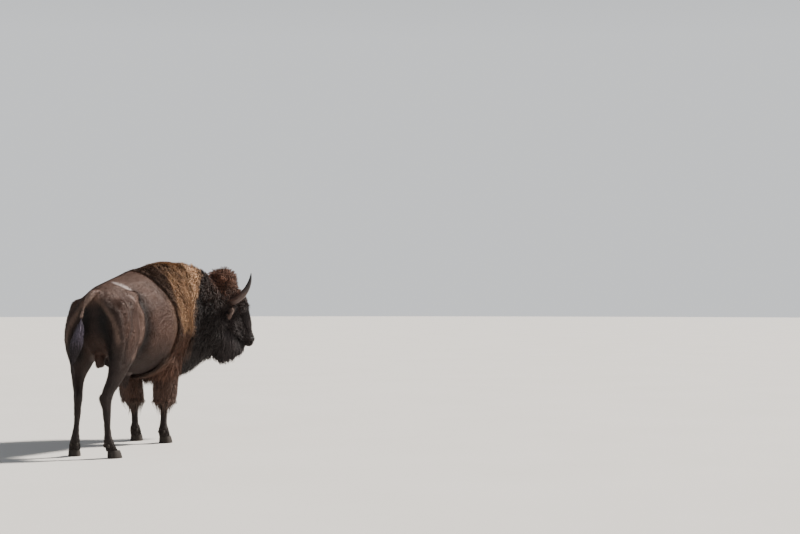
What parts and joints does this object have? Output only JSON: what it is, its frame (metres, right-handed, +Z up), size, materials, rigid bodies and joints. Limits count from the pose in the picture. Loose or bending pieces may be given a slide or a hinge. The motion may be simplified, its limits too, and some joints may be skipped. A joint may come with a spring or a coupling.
{
  "type": "bison",
  "caption": "Adult plains bison bull standing with its head and neck turned to its right, woolly cape, bonnet and beard, short horns, tufted tail.",
  "frame": {"origin": "middle of the bounding box at the soles of the hooves", "axes": "-Y the way the trunk faces, +X the animal's left side, +Z up; the head is turned 45 degrees to the animal's right, towards -X"},
  "size_m": [1.2094, 2.5626, 1.7023],
  "materials": {
    "face_and_neck_hair": "long dark brown hair of head, throat, beard and legs",
    "bonnet_hair": "curled reddish brown hair",
    "cape_wool": "golden brown woolly hair",
    "short_coat": "short flat brown hair with a slight sheen",
    "horn": "smooth dark horn, ridged at its base",
    "hoof": "dark hoof horn",
    "eye": "wet dark brown eyeball"
  },
  "bodies": {
    "root": {"barrel": "short_coat", "beard": "face_and_neck_hair", "bonnet": "bonnet_hair", "dewclaw_front_left_inner": "hoof", "dewclaw_front_left_outer": "hoof", "dewclaw_front_right_inner": "hoof", "dewclaw_front_right_outer": "hoof", "dewclaw_hind_left_inner": "hoof", "dewclaw_hind_left_outer": "hoof", "dewclaw_hind_right_inner": "hoof", "dewclaw_hind_right_outer": "hoof", "ear_left": "face_and_neck_hair", "ear_right": "face_and_neck_hair", "eye_left": "eye", "eye_right": "eye", "forequarters": "cape_wool", "front_leg_lower_left": "face_and_neck_hair", "front_leg_lower_right": "face_and_neck_hair", "front_leg_upper_left": "face_and_neck_hair", "front_leg_upper_right": "face_and_neck_hair", "head": "face_and_neck_hair", "hind_leg_lower_left": "face_and_neck_hair", "hind_leg_lower_right": "face_and_neck_hair", "hind_leg_upper_left": "face_and_neck_hair", "hind_leg_upper_right": "face_and_neck_hair", "hindquarters": "short_coat", "hoof_front_left": "hoof", "hoof_front_right": "hoof", "hoof_hind_left": "hoof", "hoof_hind_right": "hoof", "horn_left": "horn", "horn_right": "horn", "neck": "cape_wool", "tail_dock": "short_coat", "tail_switch": "face_and_neck_hair", "throat_mane": "face_and_neck_hair"}
  },
  "joints": []
}
